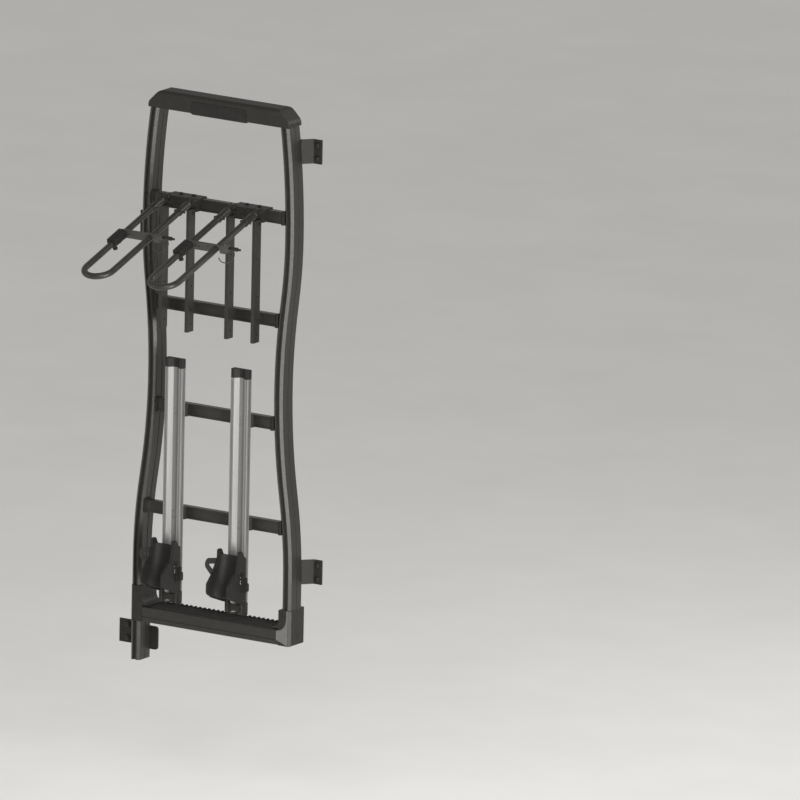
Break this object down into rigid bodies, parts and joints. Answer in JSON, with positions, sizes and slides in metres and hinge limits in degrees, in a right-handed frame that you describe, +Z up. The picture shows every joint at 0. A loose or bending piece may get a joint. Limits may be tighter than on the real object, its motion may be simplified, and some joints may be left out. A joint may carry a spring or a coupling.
{
  "type": "rear door bicycle rack",
  "caption": "Upright hourglass ladder frame that bolts to a rear door and carries hanging bicycles in folding wheel hoops and sliding wheel cups.",
  "frame": {"origin": "centre of the mounting pad of the lower hinge arm, on its face", "axes": "+X across the frame towards the inner rail, +Y into the carrying panel, +Z up"},
  "size_m": [0.7108, 0.5874, 1.73],
  "materials": {
    "frame_paint": "satin powder coat",
    "casting_paint": "satin powder coat",
    "hoop_paint": "satin powder coat",
    "black_plastic": "fine grain",
    "track_aluminium": "anodised",
    "zinc_steel": "zinc plated",
    "strap_web": "woven"
  },
  "bodies": {
    "frame": {"rail_outer": "frame_paint", "rail_inner": "frame_paint", "top_handle": "casting_paint", "handle_grip": "black_plastic", "step_bar": "frame_paint", "step_tread": "black_plastic", "corner_outer": "casting_paint", "corner_inner": "casting_paint", "leg": "frame_paint", "rung_1": "frame_paint", "rung_2": "frame_paint", "rung_3": "frame_paint", "rung_4": "frame_paint", "hinge_arm_lower": "casting_paint", "hinge_arm_upper": "casting_paint", "side_bracket_lower": "casting_paint", "side_bracket_upper": "casting_paint", "saddle_left": "casting_paint", "saddle_right": "casting_paint", "support_bars_left": "frame_paint", "support_bars_right": "frame_paint", "bar_standoffs": "casting_paint", "pivot_pins": "zinc_steel", "track_left": "track_aluminium", "track_right": "track_aluminium", "track_caps": "black_plastic", "track_mounts": "casting_paint"},
    "hoop_arm_left": {"hoop_left": "hoop_paint"},
    "gate_left": {"gate_sleeve_left": "black_plastic", "gate_plate_left": "casting_paint", "lock_pin_left": "zinc_steel"},
    "cup_left": {"wheel_cup_left": "black_plastic", "cup_clamp_left": "casting_paint", "cup_strap_left": "strap_web", "cup_buckle_left": "black_plastic"},
    "hoop_arm_right": {"hoop_right": "hoop_paint"},
    "gate_right": {"gate_sleeve_right": "black_plastic", "gate_plate_right": "casting_paint", "lock_pin_right": "zinc_steel"},
    "cup_right": {"wheel_cup_right": "black_plastic", "cup_clamp_right": "casting_paint", "cup_strap_right": "strap_web", "cup_buckle_right": "black_plastic"}
  },
  "joints": [
    {"name": "hoop_left_fold", "type": "hinge", "parent": "frame", "child": "hoop_arm_left", "pos_m": [0.2325, -0.128, 1.362], "axis": [-1, 0, 0], "range_deg": [0, 107]},
    {"name": "gate_left_swing", "type": "hinge", "parent": "hoop_arm_left", "child": "gate_left", "pos_m": [0.186, -0.128, 1.362], "axis": [0, -0.9483, -0.3173], "range_deg": [0, 100]},
    {"name": "cup_left_slide", "type": "slide", "parent": "frame", "child": "cup_left", "axis": [0, 0, 1], "range_m": [0, 0.5]},
    {"name": "hoop_right_fold", "type": "hinge", "parent": "frame", "child": "hoop_arm_right", "pos_m": [0.4655, -0.128, 1.362], "axis": [-1, 0, 0], "range_deg": [0, 107]},
    {"name": "gate_right_swing", "type": "hinge", "parent": "hoop_arm_right", "child": "gate_right", "pos_m": [0.419, -0.128, 1.362], "axis": [0, -0.9483, -0.3173], "range_deg": [0, 100]},
    {"name": "cup_right_slide", "type": "slide", "parent": "frame", "child": "cup_right", "axis": [0, 0, 1], "range_m": [0, 0.5]}
  ]
}
